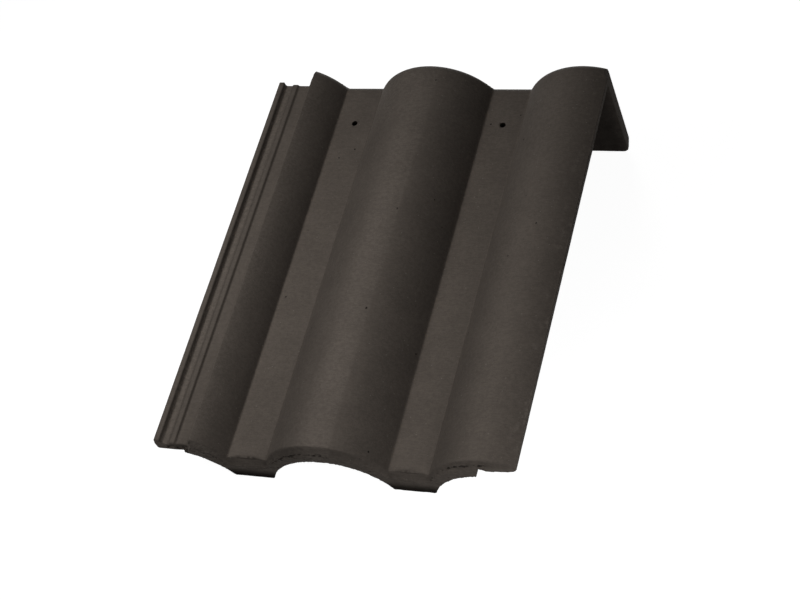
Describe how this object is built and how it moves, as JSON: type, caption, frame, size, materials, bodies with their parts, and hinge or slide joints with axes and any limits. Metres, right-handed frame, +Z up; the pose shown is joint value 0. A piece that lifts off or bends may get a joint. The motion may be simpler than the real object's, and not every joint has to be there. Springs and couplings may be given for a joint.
{
  "type": "monopitch ridge tile",
  "caption": "Rolled interlocking concrete roof tile with a right-angled flange down its head, for the top edge of a monopitch roof.",
  "frame": {"origin": "centre of the bounding box's footprint, on the level floor that the tile stands on", "axes": "+X across the tile from the side lock to the overlap, +Y level from the foot towards the flange, +Z up"},
  "size_m": [0.3334, 0.4284, 0.1172],
  "materials": {
    "concrete": "matte, fine-grained dark brown-grey coating"
  },
  "bodies": {
    "root": {"monopitch_ridge_tile": "concrete"}
  },
  "joints": []
}
